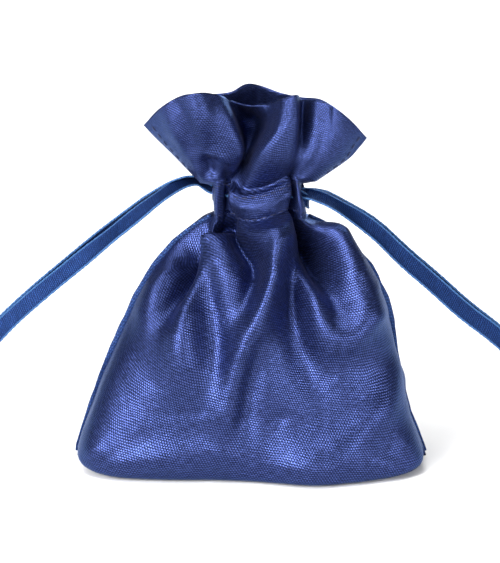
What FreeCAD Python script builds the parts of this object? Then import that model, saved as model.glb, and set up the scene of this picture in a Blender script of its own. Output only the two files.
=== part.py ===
# Drawstring gift pouch: a small satin bag, filled and standing on its folded base, with its neck
# cinched by two ribbon drawstrings. Millimetres, +Z up, X across the width, front towards -Y.
# Origin: middle of the base, on the surface that the pouch stands on.
import FreeCAD, Part
import math
import os

import Sketcher

os.makedirs("parts", exist_ok=True)

V = FreeCAD.Vector
doc = FreeCAD.newDocument("DrawstringPouch")

# ---------------------------------------------------------------- driving dimensions
sheet = doc.addObject("Spreadsheet::Sheet", "Sizes")
SIZES = [
    ("wall", 1.0, "thickness of a cloth wall, two plies and their creases"),
    ("base_thick", 1.0, "thickness of the folded base"),
    ("half_gap", 0.1, "half the gap between the front and back panels at the side seams"),
    ("panel_top", 71.9, "height of the lower row of stitches, where the body ends"),
    ("neck_shift", 1.6, "the cinched neck stands this far to the right of the base's middle"),
    ("neck_half", 12.4, "half the width of the gathered channel"),
    ("stitch_high", 0.4, "height of a row of stitches"),
    ("channel_low", 72.3, "bottom of the drawstring channel"),
    ("channel_high", 10.6, "height of the drawstring channel"),
    ("tunnel_low", 76.4, "bottom of the tunnel that the ribbons run in"),
    ("tunnel_high", 6.0, "height of the tunnel"),
    ("tunnel_in", 4.3, "distance of the tunnel's inner side from the middle plane"),
    ("tunnel_out", 7.6, "distance of the tunnel's outer side from the middle plane"),
    ("lining_thick", 1.0, "thickness of the turned-in hem that closes the tunnel"),
    ("channel_end", 8.4, "depth of the channel at its two ends"),
    ("channel_deep", 9.0, "depth of the channel at the valleys of its pleats"),
    ("channel_sag", 0.16, "height of a channel pleat over its width"),
    ("ribbon_wide", 5.0, "width of the ribbon"),
    ("ribbon_thick", 0.6, "thickness of the ribbon with its edges"),
    ("ribbon_mid", 79.4, "height of the ribbons' middle line in the channel"),
    ("left_lane", 6.9, "distance of the left drawstring's runs from the middle plane"),
    ("right_lane", 5.5, "distance of the right drawstring's runs from the middle plane"),
    ("run_back", 0.3, "gap between the end of a run and its return bend"),
    ("seam_gap", 0.15, "gap between a panel's edge and its seam lip"),
    ("seam_thick", 1.0, "thickness of a side seam's lip"),
    ("rim_top", 108.0, "height of the middle of the ruffle's rim"),
    ("rim_side", 96.5, "height of the rim at the ruffle's two tips"),
    ("knot_long", 6.4, "length of a knot"),
    ("knot_end", 2.65, "radius of a knot at its ends"),
    ("knot_mid", 3.1, "radius of a knot at its middle"),
    ("end_long", 11.0, "length of a ribbon's free end past the knot"),
    ("end_slant", 3.0, "how far a free end is cut on the slant"),
]
# Levels of the body: height, half width, half depth, how far the seam lip stands out, and how far
# the level leans to the right.
LEVELS = [
    (1.0, 49.0, 21.6, 0.9, 0.1),
    (8.0, 47.4, 23.6, 1.0, 0.1),
    (20.0, 43.8, 24.2, 1.2, 0.2),
    (35.0, 39.2, 23.2, 1.6, 1.0),
    (48.0, 34.2, 20.2, 1.8, 2.2),
    (59.0, 27.2, 15.6, 1.8, 2.4),
    (66.5, 20.0, 11.6, 1.5, 2.0),
    (71.9, 13.2, 9.3, 1.0, 1.6),
]
# Levels of the ruffle: height, half width, depth at the tips and depth at the middle.
RUFFLE = [
    (83.3, 12.6, 6.6, 9.4),
    (88.5, 22.5, 3.6, 12.6),
    (95.0, 30.0, 2.0, 14.6),
    (111.0, 36.0, 1.3, 16.5),
]
row = 1
for name, value, note in SIZES:
    sheet.set("A%d" % row, name)
    sheet.set("B%d" % row, str(value))
    sheet.set("C%d" % row, note)
    sheet.setAlias("B%d" % row, name)
    row += 1
for prefix, table, words in (("body", LEVELS, ("z", "wide", "deep", "lip", "lean")),
                             ("ruff", RUFFLE, ("z", "wide", "tip", "deep"))):
    for i, values in enumerate(table):
        for word, value in zip(words, values):
            alias = "%s_%s_%s" % (prefix, word, "abcdefgh"[i])
            sheet.set("A%d" % row, alias)
            sheet.set("B%d" % row, str(value))
            sheet.setAlias("B%d" % row, alias)
            row += 1
doc.recompute()


def size(name):
    return float(sheet.get(name))


def cell(name):
    return "Sizes." + name


# ---------------------------------------------------------------- sketch helpers
def new_body(label):
    body = doc.addObject("PartDesign::Body", label)
    body.Label = label
    return body


def plane(body, role):
    return [f for f in body.Origin.OriginFeatures if f.Role == role][0]


def new_sketch(body, name, role="XY_Plane", height=None):
    sketch = body.newObject("Sketcher::SketchObject", name)
    sketch.AttachmentSupport = (plane(body, role), [""])
    sketch.MapMode = "FlatFace"
    if height:
        sketch.setExpression("AttachmentOffset.Base.z", height)
    return sketch


def pin_point(sketch, geo, pos, x, y, x_text, y_text):
    """Hold one end of an edge at (x, y); each text is the same length, written for the sheet."""
    for kind, value, text in (("DistanceX", x, x_text), ("DistanceY", y, y_text)):
        if value >= 0:
            ends = (-1, 1, geo, pos)
        else:
            ends = (geo, pos, -1, 1)
        index = sketch.addConstraint(Sketcher.Constraint(kind, *ends, abs(value)))
        sketch.setExpression("Constraints[%d]" % index, text)


def arc_between(a, b, sag):
    """Arc from a to b that bulges by sag to the left of the way from a to b."""
    chord = b.sub(a)
    side = V(-chord.y, chord.x, 0).normalize()
    middle = (a + b) * 0.5 + side * sag
    return Part.Arc(a, middle, b)


def closed_outline(sketch, corners):
    """Draw a closed outline. A corner is (x, y, x_text, y_text, sag, sag_text); sag belongs to the
    edge that leaves the corner, and 0 makes that edge straight."""
    points = [V(c[0], c[1], 0) for c in corners]
    count = len(corners)
    first = []
    last = []
    for i, corner in enumerate(corners):
        a = points[i]
        b = points[(i + 1) % count]
        if corner[4]:
            geo = sketch.addGeometry(arc_between(a, b, corner[4]), False)
            start = sketch.getPoint(geo, 1)
            forward = (start - a).Length < 1e-6
            first.append((geo, 1 if forward else 2))
            last.append((geo, 2 if forward else 1))
        else:
            geo = sketch.addGeometry(Part.LineSegment(a, b), False)
            first.append((geo, 1))
            last.append((geo, 2))
    for i in range(count):
        link = last[i] + first[(i + 1) % count]
        sketch.addConstraint(Sketcher.Constraint("Coincident", *link))
    for i, corner in enumerate(corners):
        pin_point(sketch, first[i][0], first[i][1], *corner[:4])
        if corner[4]:
            chord = (points[(i + 1) % count] - points[i]).Length
            sag = abs(corner[4])
            radius = (chord * chord / 4 + sag * sag) / (2 * sag)
            index = sketch.addConstraint(Sketcher.Constraint("Radius", first[i][0], radius))
            after = corners[(i + 1) % count]
            text = radius_text(corner, after)
            sketch.setExpression("Constraints[%d]" % index, text)
    return sketch


def signed(value, text):
    """The text for a coordinate whose size is written by the sheet."""
    return text if value >= 0 else "-(%s)" % text


def radius_text(here, there):
    dx = "(%s - (%s))" % (signed(there[0], there[2]), signed(here[0], here[2]))
    dy = "(%s - (%s))" % (signed(there[1], there[3]), signed(here[1], here[3]))
    chord_sq = "(pow(%s; 2) + pow(%s; 2))" % (dx, dy)
    return "(%s / 4 + pow(%s; 2)) / (2 * (%s))" % (chord_sq, here[5], here[5])


# ---------------------------------------------------------------- body panels and base
SHOULDER = 0.74      # where the flat middle of a panel turns to the side, over the half width
FLAT = 0.80          # depth there, over the half depth


def panel_corners(letter, front, inset_text, inset):
    """Corners of half a level's outline, from the left seam round the panel to the right seam."""
    sign = -1 if front else 1
    wide = size("body_wide_" + letter) - inset
    deep = size("body_deep_" + letter) - inset
    gap = size("half_gap")
    wide_text = "(%s - %s)" % (cell("body_wide_" + letter), inset_text)
    deep_text = "(%s - %s)" % (cell("body_deep_" + letter), inset_text)
    gap_text = cell("half_gap")
    lean = size("body_lean_" + letter)
    lean_text = cell("body_lean_" + letter)
    near_x = "%g * %s" % (SHOULDER, wide_text)
    near_y = "%g * %s" % (FLAT, deep_text)
    side_sag = 0.10 * wide * (1 - SHOULDER)
    side_text = "%g * %s" % (0.10 * (1 - SHOULDER), wide_text)
    mid_sag = (1 - FLAT) * deep
    mid_text = "%g * %s" % (1 - FLAT, deep_text)
    turn = -sign
    corners = [
        (-wide, sign * gap, wide_text, gap_text, -turn * side_sag, side_text),
        (-SHOULDER * wide, sign * FLAT * deep, near_x, near_y, -turn * mid_sag, mid_text),
        (SHOULDER * wide, sign * FLAT * deep, near_x, near_y, -turn * side_sag, side_text),
        (wide, sign * gap, wide_text, gap_text, 0, "0"),
    ]
    leaning = []
    for x, y, x_text, y_text, sag, sag_text in corners:
        joined = "(%s %s %s)" % (x_text, "-" if x < 0 else "+", lean_text)
        leaning.append((x + lean, y, joined, y_text, sag, sag_text))
    return leaning


def ring_section(body, name, letter, front):
    """Section of a panel at one level: the outer outline, and the inner one a wall inside it."""
    outer = panel_corners(letter, front, "0", 0.0)
    inner = panel_corners(letter, front, cell("wall"), size("wall"))
    back = []
    for i in range(3, -1, -1):
        here = inner[i]
        edge = inner[i - 1] if i else None
        sag = -edge[4] if edge else 0
        text = edge[5] if edge else "0"
        back.append(here[:4] + (sag, text))
    sketch = new_sketch(body, name, height=cell("body_z_" + letter))
    return closed_outline(sketch, outer + back)


def loft(body, name, sections):
    feature = body.newObject("PartDesign::AdditiveLoft", name)
    feature.Profile = sections[0]
    feature.Sections = sections[1:]
    body.Tip = feature
    return feature


def panel(label, front):
    body = new_body(label)
    sections = [ring_section(body, "%s_level_%s" % (label, c), c, front) for c in "abcdefgh"]
    loft(body, label + "_loft", sections)
    return body


def base():
    """The fold at the bottom, spread flat by the filling."""
    body = new_body("base_fold")
    front = panel_corners("a", True, "0", 0.0)
    back = panel_corners("a", False, "0", 0.0)
    closing = []
    for i in range(3, -1, -1):
        edge = back[i - 1] if i else None
        sag = -edge[4] if edge else 0
        text = edge[5] if edge else "0"
        closing.append(back[i][:4] + (sag, text))
    sketch = closed_outline(new_sketch(body, "base_outline"), front + closing)
    pad = body.newObject("PartDesign::Pad", "base_pad")
    pad.Profile = sketch
    pad.setExpression("Length", cell("base_thick"))
    body.Tip = pad
    return body


def rectangle(sketch, x0, x1, y0, y1, texts):
    corners = [
        (x0, y0, texts[0], texts[2], 0, "0"),
        (x1, y0, texts[1], texts[2], 0, "0"),
        (x1, y1, texts[1], texts[3], 0, "0"),
        (x0, y1, texts[0], texts[3], 0, "0"),
    ]
    return closed_outline(sketch, corners)


def side_seam(label, sign):
    """Seam allowance that stands out along one side of the body, from the base to the channel."""
    body = new_body(label)
    sections = []
    half = size("seam_thick") / 2
    half_text = cell("seam_thick") + " / 2"
    for c in "abcdefgh":
        near = size("body_wide_" + c) + size("seam_gap") + sign * size("body_lean_" + c)
        far = near + size("body_lip_" + c)
        near_text = "%s + %s %s %s" % (cell("body_wide_" + c), cell("seam_gap"),
                                       "+" if sign > 0 else "-", cell("body_lean_" + c))
        far_text = "%s + %s" % (near_text, cell("body_lip_" + c))
        sketch = new_sketch(body, "%s_level_%s" % (label, c), height=cell("body_z_" + c))
        texts = (near_text, far_text, half_text, half_text)
        sections.append(rectangle(sketch, sign * near, sign * far, -half, half, texts))
    loft(body, label + "_loft", sections)
    return body


# ---------------------------------------------------------------- drawstring channel
# Valleys between the gathered pleats, over half the channel's width: narrow at the sides, one
# broad pleat in the middle.
VALLEYS = (-1.0, -0.72, -0.40, 0.22, 0.70, 1.0)


def pleated_corners(front, inner_name, trim=0.0):
    """Outline of a gathered strip: pleats on the outside, straight on the inside."""
    sign = -1 if front else 1
    half = size("neck_half") - trim
    half_text = "(%s - %g)" % (cell("neck_half"), trim)
    corners = []
    count = len(VALLEYS)
    for i, f in enumerate(VALLEYS):
        at_end = i in (0, count - 1)
        deep_name = "channel_end" if at_end else "channel_deep"
        deep = size(deep_name) - trim
        deep_text = "(%s - %g)" % (cell(deep_name), trim)
        x_text = "%g * %s" % (abs(f), half_text)
        if i < count - 1:
            pitch = VALLEYS[i + 1] - f
            sag = sign * size("channel_sag") * pitch * half * 0.5
            sag_text = "%s * %g * %s" % (cell("channel_sag"), pitch * 0.5, half_text)
        else:
            sag = 0
            sag_text = "0"
        corners.append((f * half, sign * deep, x_text, deep_text, sag, sag_text))
    inner = size(inner_name)
    inner_text = cell(inner_name)
    corners.append((half, sign * inner, half_text, inner_text, 0, "0"))
    corners.append((-half, sign * inner, half_text, inner_text, 0, "0"))
    return corners


def to_neck(obj):
    obj.setExpression("Placement.Base.x", cell("neck_shift"))


def channel(label, front):
    """Outer ply of the channel, with the tunnel cut along its inner side from end to end."""
    body = new_body(label)
    sketch = new_sketch(body, label + "_outline", height=cell("channel_low"))
    closed_outline(sketch, pleated_corners(front, "tunnel_in"))
    pad = body.newObject("PartDesign::Pad", label + "_pad")
    pad.Profile = sketch
    pad.setExpression("Length", cell("channel_high"))
    body.Tip = pad
    doc.recompute()
    full = pad.Shape.Volume
    cut = new_sketch(body, label + "_tunnel", role="YZ_Plane")
    sign = -1 if front else 1
    low = size("tunnel_low")
    high = low + size("tunnel_high")
    high_text = "%s + %s" % (cell("tunnel_low"), cell("tunnel_high"))
    texts = (cell("tunnel_in") + " - 1", cell("tunnel_out"), cell("tunnel_low"), high_text)
    near = size("tunnel_in") - 1
    rectangle(cut, sign * near, sign * size("tunnel_out"), low, high, texts)
    pocket = body.newObject("PartDesign::Pocket", label + "_pocket")
    pocket.Profile = cut
    pocket.Midplane = True
    pocket.setExpression("Length", "4 * " + cell("neck_half"))
    body.Tip = pocket
    doc.recompute()
    print(label, "tunnel takes", round(full - pocket.Shape.Volume, 1), "mm3")
    to_neck(body)
    return body


def lining(label, front):
    """Turned-in hem that closes the tunnel on the inside of the neck."""
    box = doc.addObject("Part::Box", label)
    box.Label = label
    box.setExpression("Length", "2 * " + cell("neck_half"))
    box.setExpression("Width", cell("lining_thick"))
    box.setExpression("Height", cell("channel_high"))
    box.setExpression("Placement.Base.x", "%s - %s" % (cell("neck_shift"), cell("neck_half")))
    box.setExpression("Placement.Base.z", cell("channel_low"))
    if front:
        box.setExpression("Placement.Base.y", "-" + cell("tunnel_in"))
    else:
        box.setExpression("Placement.Base.y", "%s - %s" % (cell("tunnel_in"), cell("lining_thick")))
    return box


def stitch_row(label, height_text):
    """One row of stitches round the neck: a front half and a back half."""
    halves = []
    for word, front in (("front", True), ("back", False)):
        body = doc.addObject("PartDesign::Body", "%s_%s" % (label, word))
        sketch = new_sketch(body, "%s_%s_outline" % (label, word), height=height_text)
        closed_outline(sketch, pleated_corners(front, "tunnel_out", trim=0.3))
        pad = body.newObject("PartDesign::Pad", "%s_%s_pad" % (label, word))
        pad.Profile = sketch
        pad.setExpression("Length", cell("stitch_high"))
        body.Tip = pad
        to_neck(body)
        halves.append(body)
    both = doc.addObject("Part::Compound", label)
    both.Label = label
    both.Links = halves
    return both


# ---------------------------------------------------------------- ruffle above the channel
# Ends of the ruffle's folds over its half width, and how far each fold swings out (+) or in (-).
FOLDS = ((-1.0, 0.16), (-0.66, -0.13), (-0.30, 0.17), (0.16, -0.10), (0.46, 0.15), (1.0, 0.0))


def ruffle_section(body, name, letter, front):
    sign = -1 if front else 1
    wide = size("ruff_wide_" + letter)
    wide_text = cell("ruff_wide_" + letter)
    tip = size("ruff_tip_" + letter)
    deep = size("ruff_deep_" + letter)
    wall = size("wall")
    outer = []
    inner = []
    for f, swing in FOLDS:
        # Depth runs from the tips to the middle as a parabola.
        share = 1 - f * f
        y = tip + (deep - tip) * share
        y_text = "(%s + (%s - %s) * %g)" % (cell("ruff_tip_" + letter), cell("ruff_deep_" + letter),
                                            cell("ruff_tip_" + letter), share)
        x_text = "%g * %s" % (abs(f), wide_text)
        outer.append((f * wide, sign * y, x_text, y_text, swing))
        inner.append((f * wide, sign * (y - wall), x_text, "(%s - %s)" % (y_text, cell("wall")),
                      swing))
    corners = []
    growth = {"a": 0.5, "b": 0.8, "c": 1.0, "d": 1.0}[letter]
    for i, c in enumerate(outer):
        sag = 0
        text = "0"
        if i < len(outer) - 1:
            reach = (FOLDS[i + 1][0] - c[0] / wide) * abs(c[4]) * growth
            sag = sign * math.copysign(reach * wide, c[4])
            text = "%g * %s" % (reach, wide_text)
        corners.append(c[:4] + (sag, text))
    for i in range(len(inner) - 1, -1, -1):
        sag = 0
        text = "0"
        if i:
            before = inner[i - 1]
            reach = (FOLDS[i][0] - FOLDS[i - 1][0]) * abs(before[4]) * growth
            sag = -sign * math.copysign(reach * wide, before[4])
            text = "%g * %s" % (reach, wide_text)
        corners.append(inner[i][:4] + (sag, text))
    sketch = new_sketch(body, name, height=cell("ruff_z_" + letter))
    return closed_outline(sketch, corners)


def ruffle(label, front):
    """Header above the channel: a fan of folds, its rim highest in the middle."""
    body = new_body(label)
    sections = [ruffle_section(body, "%s_level_%s" % (label, c), c, front) for c in "abcd"]
    loft(body, label + "_loft", sections)
    doc.recompute()
    full = body.Shape.Volume
    trim = new_sketch(body, label + "_rim", role="XZ_Plane")
    reach = 45.0
    side = size("rim_side") - 4.0
    side_text = cell("rim_side") + " - 4"
    top = 125.0
    rise = size("rim_top") - side
    rise_text = "%s - (%s)" % (cell("rim_top"), side_text)
    corners = [
        (-reach, side, "45", side_text, rise, rise_text),
        (reach, side, "45", side_text, 0, "0"),
        (reach, top, "45", "125", 0, "0"),
        (-reach, top, "45", "125", 0, "0"),
    ]
    closed_outline(trim, corners)
    pocket = body.newObject("PartDesign::Pocket", label + "_trim")
    pocket.Profile = trim
    pocket.Midplane = True
    pocket.Length = 80
    body.Tip = pocket
    doc.recompute()
    print(label, "rim cut takes", round(full - pocket.Shape.Volume, 1), "mm3")
    to_neck(body)
    return body


# ---------------------------------------------------------------- ribbon drawstrings
# Routes of the free tails, from the channel's end to the knot on the surface. The front strand is
# given; the back strand mirrors it in Y and rides a little higher.
LEFT_ROUTE = [
    (-10.9, -6.9, 79.4),
    (-17.6, -6.9, 79.4),
    (-25.6, -6.0, 77.1),
    (-33.8, -4.4, 71.4),
    (-42.5, -3.0, 63.9),
    (-52.0, -2.0, 56.1),
    (-61.5, -1.5, 48.9),
    (-71.0, -1.2, 40.3),
    (-79.5, -1.0, 30.6),
    (-86.5, -1.0, 20.8),
    (-93.0, -1.1, 11.6),
    (-99.0, -1.1, 5.4),
    (-105.5, -1.0, 2.7),
    (-112.0, -1.0, 2.7),
]
RIGHT_ROUTE = [
    (14.1, -5.5, 79.4),
    (19.6, -5.5, 79.4),
    (26.4, -5.0, 77.0),
    (33.9, -4.0, 70.6),
    (42.3, -3.0, 61.9),
    (51.5, -2.0, 54.0),
    (60.5, -1.5, 45.6),
    (70.0, -1.2, 38.2),
    (78.5, -1.0, 29.6),
    (85.5, -1.0, 20.1),
    (92.0, -1.1, 11.4),
    (98.1, -1.1, 5.3),
    (104.6, -1.0, 2.7),
    (111.0, -1.0, 2.7),
]
LIFT = (0.0, 0.0, 0.5, 0.9, 0.9, 0.8, 0.6, 0.4, 0.3, 0.2, 0.1, 0.0, 0.0, 0.0)


def run_and_arc_path(points, tight=0.45):
    """Straight runs joined by tangent arcs, each arc as large as its two runs allow."""
    pts = [V(*p) for p in points]
    edges = []
    radii = []
    start = pts[0]
    for i in range(1, len(pts) - 1):
        before = pts[i] - pts[i - 1]
        after = pts[i + 1] - pts[i]
        turn = before.getAngle(after)
        reach = tight * min(before.Length, after.Length)
        radius = reach / math.tan(turn / 2)
        radii.append(radius)
        a = pts[i] - before.normalize() * reach
        b = pts[i] + after.normalize() * reach
        bisector = ((a + b) * 0.5 - pts[i]).normalize()
        gap = radius / math.cos(turn / 2) - radius
        middle = pts[i] + bisector * gap
        if (a - start).Length > 1e-6:
            edges.append(Part.LineSegment(start, a).toShape())
        edges.append(Part.Arc(a, middle, b).toShape())
        start = b
    edges.append(Part.LineSegment(start, pts[-1]).toShape())
    return Part.Wire(edges), radii


def ribbon(label, points, upright, tall, tight=0.45, keeps=True):
    """Flat ribbon on edge along a path. Its section keeps the upright direction, or if keeps is
    false it only starts from it and stays square to the path."""
    path, radii = run_and_arc_path(points, tight)
    start = path.OrderedEdges[0]
    tangent = start.tangentAt(start.FirstParameter)
    origin = V(*points[0])
    side = upright.cross(tangent).normalize()
    keep = tangent.cross(side).normalize()
    # Across the ribbon's thickness the section follows `thin`, across its width `broad`.
    if abs(upright.z) > 0.5:
        thin, broad = side, keep
    else:
        thin, broad = keep, side
    half_t = size("ribbon_thick") / 2
    half_w = tall / 2
    corners = [
        origin + thin * half_t + broad * half_w,
        origin - thin * half_t + broad * half_w,
        origin - thin * half_t - broad * half_w,
        origin + thin * half_t - broad * half_w,
    ]
    section = Part.makePolygon(corners + corners[:1])
    shell = Part.BRepOffsetAPI.MakePipeShell(path)
    if keeps:
        shell.setBiNormalMode(upright)
    else:
        shell.setFrenetMode(False)
    shell.add(section, False, False)
    shell.build()
    shell.makeSolid()
    solid = shell.shape()
    expected = 4 * half_t * half_w * path.Length
    print("%s: length %.1f, radii %s" % (label, path.Length, [round(r, 1) for r in radii]))
    print("   volume %.1f of %.1f expected" % (solid.Volume, expected))
    feature = doc.addObject("Part::Feature", label)
    feature.Label = label
    feature.Shape = solid
    return feature


def strand(label, route, front):
    points = []
    for p, lift in zip(route, LIFT):
        if front:
            points.append(p)
        else:
            points.append((p[0], -p[1], p[2] + lift))
    return ribbon(label, points, V(0, 1, 0), size("ribbon_wide"))


def run(label, lane, left, front):
    """Straight stretch of a drawstring inside the channel."""
    box = doc.addObject("Part::Box", label)
    box.Label = label
    length = "(2 * %s + 0.1 - %s)" % (cell("neck_half"), cell("run_back"))
    box.setExpression("Length", length)
    box.setExpression("Width", cell("ribbon_thick"))
    box.setExpression("Height", cell("ribbon_wide"))
    if left:
        low = "%s - %s - 0.1" % (cell("neck_shift"), cell("neck_half"))
    else:
        low = "%s + %s + 0.1 - %s" % (cell("neck_shift"), cell("neck_half"), length)
    box.setExpression("Placement.Base.x", low)
    sign = "-" if front else ""
    box.setExpression("Placement.Base.y", "%s%s - %s / 2" % (sign, cell(lane), cell("ribbon_thick")))
    box.setExpression("Placement.Base.z", "%s - %s / 2" % (cell("ribbon_mid"), cell("ribbon_wide")))
    return box


def knot(label, x, left):
    """Overhand knot that ties the two strands of a drawstring together, lying on the surface."""
    body = new_body(label)
    sketch = new_sketch(body, label + "_profile", role="XZ_Plane")
    long = size("knot_long")
    end = size("knot_end")
    rise = size("knot_mid") - end
    rise_text = "%s - %s" % (cell("knot_mid"), cell("knot_end"))
    corners = [
        (0.0, 0.0, "0", "0", 0, "0"),
        (long, 0.0, cell("knot_long"), "0", 0, "0"),
        (long, end, cell("knot_long"), cell("knot_end"), -rise, rise_text),
        (0.0, end, "0", cell("knot_end"), 0, "0"),
    ]
    closed_outline(sketch, corners)
    turn = body.newObject("PartDesign::Revolution", label + "_turn")
    turn.Profile = sketch
    turn.ReferenceAxis = (sketch, ["H_Axis"])
    turn.Angle = 360
    body.Tip = turn
    body.Placement.Base = V(x - long if left else x, 0, 0)
    body.setExpression("Placement.Base.z", cell("knot_mid") + " + 0.1")
    return body


def free_ends(label, x, left):
    """The two short ends past a knot, cut on the slant and splayed apart."""
    pieces = []
    for word, angle in (("near", 9.0), ("far", -12.0)):
        body = doc.addObject("PartDesign::Body", "%s_%s" % (label, word))
        sketch = new_sketch(body, "%s_%s_outline" % (label, word), role="XZ_Plane")
        long = size("end_long")
        wide = size("ribbon_wide")
        slant = size("end_slant")
        short_text = "%s - %s" % (cell("end_long"), cell("end_slant"))
        corners = [
            (0.0, 0.0, "0", "0", 0, "0"),
            (long, 0.0, cell("end_long"), "0", 0, "0"),
            (long - slant, wide, short_text, cell("ribbon_wide"), 0, "0"),
            (0.0, wide, "0", cell("ribbon_wide"), 0, "0"),
        ]
        closed_outline(sketch, corners)
        pad = body.newObject("PartDesign::Pad", "%s_%s_pad" % (label, word))
        pad.Profile = sketch
        pad.Midplane = True
        pad.setExpression("Length", cell("ribbon_thick"))
        body.Tip = pad
        side = -1.2 if word == "near" else 1.2
        heading = 180.0 + angle if left else -angle
        spin = FreeCAD.Rotation(V(0, 0, 1), heading)
        body.Placement = FreeCAD.Placement(V(x + (-0.1 if left else 0.1), side, 0.2), spin)
        pieces.append(body)
    both = doc.addObject("Part::Compound", label)
    both.Label = label
    both.Links = pieces
    return both


# ---------------------------------------------------------------- the pouch
nodes = [
    base(),
    panel("body_front", True),
    panel("body_back", False),
    side_seam("side_seam_left", -1),
    side_seam("side_seam_right", 1),
    channel("channel_front", True),
    channel("channel_back", False),
    lining("channel_lining_front", True),
    lining("channel_lining_back", False),
    stitch_row("lower_stitching", cell("panel_top")),
    stitch_row("upper_stitching", "%s + %s" % (cell("channel_low"), cell("channel_high"))),
    ruffle("ruffle_front", True),
    ruffle("ruffle_back", False),
]

shift = size("neck_shift")
neck = size("neck_half")
mid = size("ribbon_mid")

# The left drawstring turns back below the right one's tails; the right one turns back level.
far = shift + neck + 0.9
a_lane = size("left_lane")
LEFT_BEND = [
    (far, -a_lane, mid - 0.7),
    (far + 2.2, -a_lane, mid - 1.9),
    (far + 4.3, -a_lane + 0.4, mid - 5.2),
    (far + 5.4, -3.6, mid - 6.6),
    (far + 5.6, 0.0, mid - 6.9),
    (far + 5.4, 3.6, mid - 6.6),
    (far + 4.3, a_lane - 0.4, mid - 5.2),
    (far + 2.2, a_lane, mid - 1.9),
    (far, a_lane, mid - 0.7),
]
near = shift - neck - 0.3
b_lane = size("right_lane")
RIGHT_BEND = [
    (near, -b_lane, mid),
    (near - 1.7, -b_lane + 0.1, mid),
    (near - 3.2, -2.7, mid),
    (near - 3.6, 0.0, mid),
    (near - 3.2, 2.7, mid),
    (near - 1.7, b_lane - 0.1, mid),
    (near, b_lane, mid),
]

nodes += [
    run("left_run_front", "left_lane", True, True),
    run("left_run_back", "left_lane", True, False),
    ribbon("left_return_bend", LEFT_BEND, V(0, 0, 1), 3.4, 0.4, keeps=False),
    strand("left_tail_front", LEFT_ROUTE, True),
    strand("left_tail_back", LEFT_ROUTE, False),
    knot("left_knot", LEFT_ROUTE[-1][0], True),
    free_ends("left_ribbon_ends", LEFT_ROUTE[-1][0] - size("knot_long"), True),
    run("right_run_front", "right_lane", False, True),
    run("right_run_back", "right_lane", False, False),
    ribbon("right_return_bend", RIGHT_BEND, V(0, 0, 1), 5.0, 0.4),
    strand("right_tail_front", RIGHT_ROUTE, True),
    strand("right_tail_back", RIGHT_ROUTE, False),
    knot("right_knot", RIGHT_ROUTE[-1][0], False),
    free_ends("right_ribbon_ends", RIGHT_ROUTE[-1][0] + size("knot_long"), False),
]
doc.recompute()

# ---------------------------------------------------------------- check, then write
for obj in doc.Objects:
    if "Invalid" in obj.State or "Error" in obj.State:
        raise RuntimeError("%s failed: %s" % (obj.Name, obj.State))
for node in nodes:
    shape = node.Shape
    if shape.isNull() or not shape.isValid() or not shape.Solids:
        raise RuntimeError("%s has no valid solid" % node.Label)
    box = shape.BoundBox
    print("%-22s %9.1f mm3  x %.1f..%.1f  y %.1f..%.1f  z %.1f..%.1f" % (
        node.Label, shape.Volume, box.XMin, box.XMax, box.YMin, box.YMax, box.ZMin, box.ZMax))
for node in nodes:
    node.Shape.exportStep("parts/%s.step" % node.Label)
print(len(nodes), "nodes written")
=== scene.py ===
import math

import bpy
import numpy as np
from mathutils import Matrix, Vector


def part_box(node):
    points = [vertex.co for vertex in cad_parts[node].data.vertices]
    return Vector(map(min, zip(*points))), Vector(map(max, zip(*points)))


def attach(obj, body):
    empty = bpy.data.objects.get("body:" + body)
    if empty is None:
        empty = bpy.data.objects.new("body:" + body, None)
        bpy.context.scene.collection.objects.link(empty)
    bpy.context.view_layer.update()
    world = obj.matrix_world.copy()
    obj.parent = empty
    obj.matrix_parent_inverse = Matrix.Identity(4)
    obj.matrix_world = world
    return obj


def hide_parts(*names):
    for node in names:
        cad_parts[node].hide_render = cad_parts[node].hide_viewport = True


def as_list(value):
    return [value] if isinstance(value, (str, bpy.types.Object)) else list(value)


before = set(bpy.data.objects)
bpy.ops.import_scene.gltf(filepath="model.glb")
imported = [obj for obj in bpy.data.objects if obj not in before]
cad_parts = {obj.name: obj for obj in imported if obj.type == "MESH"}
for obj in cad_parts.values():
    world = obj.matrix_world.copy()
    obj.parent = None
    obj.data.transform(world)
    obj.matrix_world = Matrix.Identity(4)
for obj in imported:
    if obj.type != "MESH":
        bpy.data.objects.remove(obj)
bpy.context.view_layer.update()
MM = 0.001
TURN = 2 * math.pi
scene = bpy.context.scene


def add_object(name, data):
    obj = bpy.data.objects.new(name, data)
    scene.collection.objects.link(obj)
    return obj


# ---------------- camera
ELEVATION = math.radians(13.0)
DISTANCE = 0.80
AIM = Vector((-0.0006, 0.0, 0.0530))
LENS = 180.0
SENSOR = 36.0

camera_data = bpy.data.cameras.new("camera")
camera_data.lens = LENS
camera_data.sensor_fit = "VERTICAL"
camera_data.sensor_height = SENSOR
camera_data.clip_start = 0.01
camera = add_object("camera", camera_data)
camera.location = AIM + DISTANCE * Vector((0.0, -math.cos(ELEVATION), math.sin(ELEVATION)))
camera.rotation_euler = (math.pi / 2 - ELEVATION, 0.0, 0.0)
scene.camera = camera


# ---------------- small helpers
def mesh_object(name, verts, faces, material, smooth=True, uvs=None):
    """A mesh piece. Vertices are in millimetres."""
    mesh = bpy.data.meshes.new(name)
    mesh.from_pydata((np.asarray(verts, float) * MM).tolist(), [], [tuple(map(int, f)) for f in faces])
    mesh.update()
    if smooth:
        mesh.polygons.foreach_set("use_smooth", [True] * len(mesh.polygons))
    if uvs is not None:
        layer = mesh.uv_layers.new(name="UVMap")
        loops = np.empty(len(mesh.loops), dtype=np.int32)
        mesh.loops.foreach_get("vertex_index", loops)
        layer.data.foreach_set("uv", np.asarray(uvs, float)[loops].ravel())
    mesh.materials.append(material)
    return add_object(name, mesh)


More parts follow.
